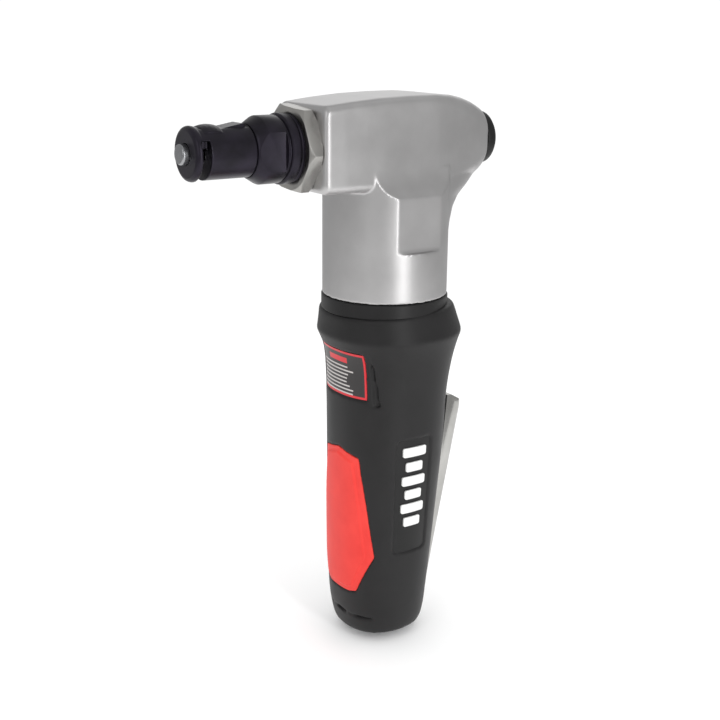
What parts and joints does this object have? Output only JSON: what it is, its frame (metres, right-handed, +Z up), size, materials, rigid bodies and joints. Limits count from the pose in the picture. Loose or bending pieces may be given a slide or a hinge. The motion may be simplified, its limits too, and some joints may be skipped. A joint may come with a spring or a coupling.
{
  "type": "pneumatic nibbler",
  "caption": "Hand-held air nibbler with a T-shaped aluminium head, punch and die nose, rubber grip and rear throttle lever.",
  "frame": {"origin": "centre of the air inlet's mouth at the bottom of the handle", "axes": "+Z up the handle along its axis, +X along the nose towards the punch, +Y to the left of the tool"},
  "size_m": [0.1314, 0.0532, 0.2082],
  "materials": {
    "cast_aluminium": "satin brushed casting",
    "machined_aluminium": "machined",
    "bright_steel": "polished",
    "zinc_steel": "satin zinc plate",
    "black_oxide": "black oxide",
    "ground_steel": "ground and hardened",
    "bearing_steel": "polished",
    "black_plastic": "satin moulded",
    "grip_rubber": "satin moulded",
    "red_rubber": "satin moulded",
    "label_film": "satin printed film",
    "seal_rubber": "matte",
    "bronze": "oil-soaked sintered bronze",
    "felt": "felt",
    "vane_resin": "machined phenolic resin",
    "brass": "turned"
  },
  "bodies": {
    "root": {"bearing_circlip": "black_oxide", "cap_seal": "seal_rubber", "clamp_ring": "black_plastic", "crank_bearing_lower_outer": "bearing_steel", "crank_bearing_upper_outer": "bearing_steel", "cylinder_liner": "ground_steel", "cylinder_pin": "bearing_steel", "exhaust_plate": "black_plastic", "front_plate": "machined_aluminium", "grip_insert": "red_rubber", "grip_sleeve": "grip_rubber", "head_cap": "black_plastic", "head_housing": "cast_aluminium", "inlet_bushing": "zinc_steel", "inlet_screen": "brass", "label_plate": "label_film", "lever_pin": "bearing_steel", "lock_nut": "zinc_steel", "motor_housing": "machined_aluminium", "name_panel": "black_plastic", "ram_bush_front": "bronze", "ram_bush_rear": "bronze", "rear_plate": "machined_aluminium", "ring_gear": "ground_steel", "rotor_bearing_front_outer": "bearing_steel", "rotor_bearing_rear_outer": "bearing_steel", "silencer_felt": "felt", "valve_bush": "brass", "valve_plug": "brass", "valve_spring": "bearing_steel"},
    "rotor": {"rotor": "ground_steel", "rotor_vanes": "vane_resin", "rotor_bearing_front_inner": "bearing_steel", "rotor_bearing_front_balls": "bearing_steel", "rotor_bearing_rear_inner": "bearing_steel", "rotor_bearing_rear_balls": "bearing_steel"},
    "crank": {"crankshaft": "ground_steel", "planet_pins": "bearing_steel", "crank_spacer": "ground_steel", "crank_bearing_lower_inner": "bearing_steel", "crank_bearing_lower_balls": "bearing_steel", "crank_bearing_upper_inner": "bearing_steel", "crank_bearing_upper_balls": "bearing_steel"},
    "planet_1": {"planet_gear_1": "ground_steel"},
    "planet_2": {"planet_gear_2": "ground_steel"},
    "planet_3": {"planet_gear_3": "ground_steel"},
    "yoke_block": {"yoke_block": "bronze"},
    "ram": {"ram": "ground_steel", "punch": "ground_steel", "punch_screw": "black_oxide"},
    "die": {"die_holder": "black_oxide", "die": "black_oxide"},
    "lever": {"throttle_lever": "bright_steel"},
    "valve_stem": {"valve_stem": "bearing_steel", "valve_seal": "seal_rubber"}
  },
  "joints": [
    {"name": "rotor_spin", "type": "hinge", "parent": "root", "child": "rotor", "pos_m": [0, 0, 0.09], "axis": [0, 0, 1], "continuous": true},
    {"name": "crank_spin", "type": "hinge", "parent": "root", "child": "crank", "pos_m": [0, 0, 0.16], "axis": [0, 0, 1], "continuous": true},
    {"name": "planet_1_spin", "type": "hinge", "parent": "crank", "child": "planet_1", "pos_m": [0.01013, 0, 0.128], "axis": [0, 0, 1], "continuous": true},
    {"name": "planet_2_spin", "type": "hinge", "parent": "crank", "child": "planet_2", "pos_m": [-0.00506, 0.00877, 0.128], "axis": [0, 0, 1], "continuous": true},
    {"name": "planet_3_spin", "type": "hinge", "parent": "crank", "child": "planet_3", "pos_m": [-0.00506, -0.00877, 0.128], "axis": [0, 0, 1], "continuous": true},
    {"name": "block_spin", "type": "hinge", "parent": "crank", "child": "yoke_block", "pos_m": [0, 0.0026, 0.191], "axis": [0, 0, 1], "continuous": true},
    {"name": "ram_slide", "type": "slide", "parent": "root", "child": "ram", "axis": [1, 0, 0], "range_m": [-0.0026, 0.0026]},
    {"name": "die_swivel", "type": "hinge", "parent": "root", "child": "die", "pos_m": [0.05, 0, 0.191], "axis": [1, 0, 0], "continuous": true},
    {"name": "lever_press", "type": "hinge", "parent": "root", "child": "lever", "pos_m": [-0.016, 0, 0.0155], "axis": [0, 1, 0], "range_deg": [0, 5.5], "stiffness_Nm_per_rad": 2, "springref_deg": -2.86},
    {"name": "valve_slide", "type": "slide", "parent": "root", "child": "valve_stem", "axis": [1, 0, 0], "range_m": [0, 0.0022], "deforming": ["valve_spring"]}
  ],
  "couplings": [
    {"joint": "crank_spin", "follows": "rotor_spin", "ratio": 0.22222},
    {"joint": "planet_1_spin", "follows": "rotor_spin", "ratio": -0.62222},
    {"joint": "planet_2_spin", "follows": "rotor_spin", "ratio": -0.62222},
    {"joint": "planet_3_spin", "follows": "rotor_spin", "ratio": -0.62222},
    {"joint": "block_spin", "follows": "rotor_spin", "ratio": -0.22222},
    {"joint": "valve_slide", "follows": "lever_press", "m_per_rad": 0.0212}
  ]
}
